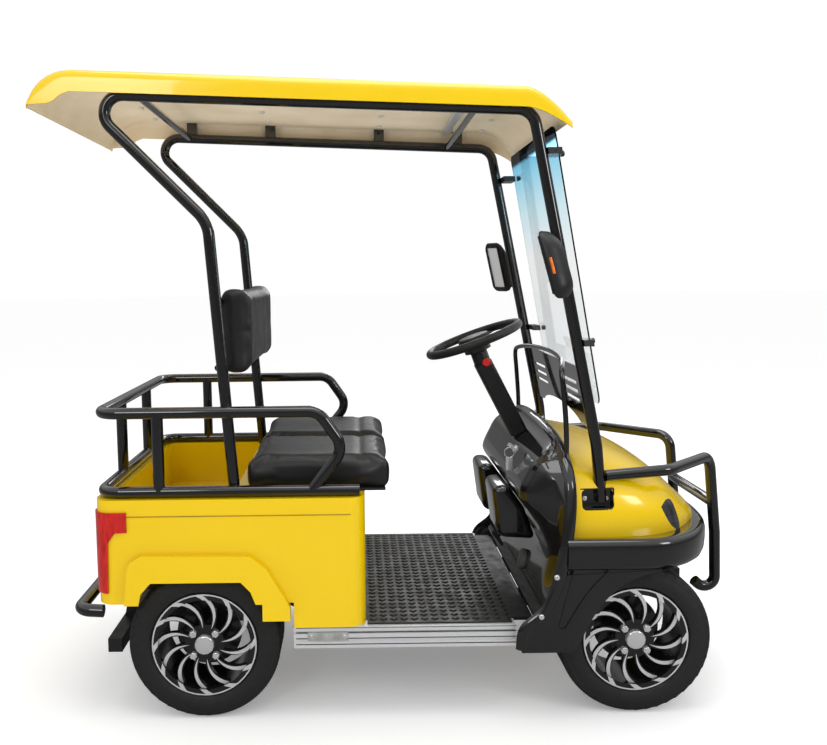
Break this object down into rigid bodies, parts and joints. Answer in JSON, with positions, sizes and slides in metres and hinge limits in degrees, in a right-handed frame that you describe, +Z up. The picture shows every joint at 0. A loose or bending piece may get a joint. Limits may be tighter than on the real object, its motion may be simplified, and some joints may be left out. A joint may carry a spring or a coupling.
{
  "type": "two-seat golf cart",
  "caption": "Small open electric cart with a canopy on tube pillars, a bench seat, a railed cargo well behind it, a windscreen, a moulded nose with a tube guard, and four alloy road wheels.",
  "frame": {"origin": "on the ground, under the middle of the whole cart's length and width", "axes": "+X forward, +Y to the cart's left, +Z up"},
  "size_m": [2.2225, 1.1818, 2.016],
  "materials": {
    "yellow_body": "glossy moulded plastic",
    "black_gloss_plastic": "glossy black moulding",
    "black_gloss_tube": "gloss black powder coat",
    "frame_black": "satin black paint",
    "aluminium": "anodised extrusion",
    "rubber_mat": "studded rubber",
    "tyre_rubber": "road tyre rubber",
    "alloy": "machined and gloss black alloy",
    "steel": "turned steel",
    "seat_vinyl": "grained black vinyl",
    "clear_screen": "clear polycarbonate, blue at the top",
    "lamp_red": "red lens",
    "matte_black": "grained black plastic"
  },
  "bodies": {
    "chassis": {"backrest_cushion": "seat_vinyl", "backrest_frame": "black_gloss_tube", "battery_pack": "matte_black", "brake_pedal": "matte_black", "cargo_cage": "black_gloss_tube", "chassis_frame": "frame_black", "dash": "black_gloss_plastic", "dash_pod_left": "black_gloss_plastic", "dash_pod_right": "black_gloss_plastic", "floor_mat": "rubber_mat", "floor_pan": "frame_black", "front_axle": "frame_black", "front_belt": "black_gloss_plastic", "front_cowl": "yellow_body", "front_guard": "black_gloss_tube", "front_pillar_left": "black_gloss_tube", "front_pillar_right": "black_gloss_tube", "front_springs": "frame_black", "lower_screen": "black_gloss_plastic", "mirror_left": "matte_black", "mirror_right": "matte_black", "rear_axle": "frame_black", "rear_body": "yellow_body", "rear_bumper": "black_gloss_tube", "rear_pillar_left": "black_gloss_tube", "rear_pillar_right": "black_gloss_tube", "rear_springs": "frame_black", "roof": "yellow_body", "roof_frame": "black_gloss_tube", "screen_clamps": "aluminium", "seat_cushion": "seat_vinyl", "sill_left": "aluminium", "sill_right": "aluminium", "steering_column": "matte_black", "tail_lamp_left": "lamp_red", "tail_lamp_right": "lamp_red", "windscreen": "clear_screen"},
    "wheel_front_right": {"tyre_front_right": "tyre_rubber", "rim_front_right": "alloy", "hub_front_right": "steel"},
    "wheel_front_left": {"tyre_front_left": "tyre_rubber", "rim_front_left": "alloy", "hub_front_left": "steel"},
    "wheel_rear_right": {"tyre_rear_right": "tyre_rubber", "rim_rear_right": "alloy", "hub_rear_right": "steel"},
    "wheel_rear_left": {"tyre_rear_left": "tyre_rubber", "rim_rear_left": "alloy", "hub_rear_left": "steel"},
    "knuckle_right_body": {"knuckle_right": "frame_black"},
    "knuckle_left_body": {"knuckle_left": "frame_black"},
    "steering_wheel_body": {"steering_wheel": "matte_black"}
  },
  "joints": [
    {"name": "rear_right_spin", "type": "hinge", "parent": "chassis", "child": "wheel_rear_right", "pos_m": [-0.6263, -0.379, 0.24], "axis": [0, 1, 0], "continuous": true},
    {"name": "rear_left_spin", "type": "hinge", "parent": "chassis", "child": "wheel_rear_left", "pos_m": [-0.6263, 0.379, 0.24], "axis": [0, 1, 0], "continuous": true},
    {"name": "front_right_spin", "type": "hinge", "parent": "knuckle_right_body", "child": "wheel_front_right", "pos_m": [0.7337, -0.379, 0.24], "axis": [0, 1, 0], "continuous": true},
    {"name": "front_left_spin", "type": "hinge", "parent": "knuckle_left_body", "child": "wheel_front_left", "pos_m": [0.7337, 0.379, 0.24], "axis": [0, 1, 0], "continuous": true},
    {"name": "steering_turn", "type": "hinge", "parent": "chassis", "child": "steering_wheel_body", "pos_m": [0.2857, 0, 1.161], "axis": [-0.342, 0, 0.9397], "range_deg": [-270, 270]},
    {"name": "right_steer", "type": "hinge", "parent": "chassis", "child": "knuckle_right_body", "pos_m": [0.7337, -0.285, 0.24], "axis": [0, 0, 1], "range_deg": [-25.5, 25.5]},
    {"name": "left_steer", "type": "hinge", "parent": "chassis", "child": "knuckle_left_body", "pos_m": [0.7337, 0.285, 0.24], "axis": [0, 0, 1], "range_deg": [-25.5, 25.5]}
  ],
  "couplings": [
    {"joint": "right_steer", "follows": "steering_turn", "ratio": 0.092593},
    {"joint": "left_steer", "follows": "steering_turn", "ratio": 0.092593}
  ]
}
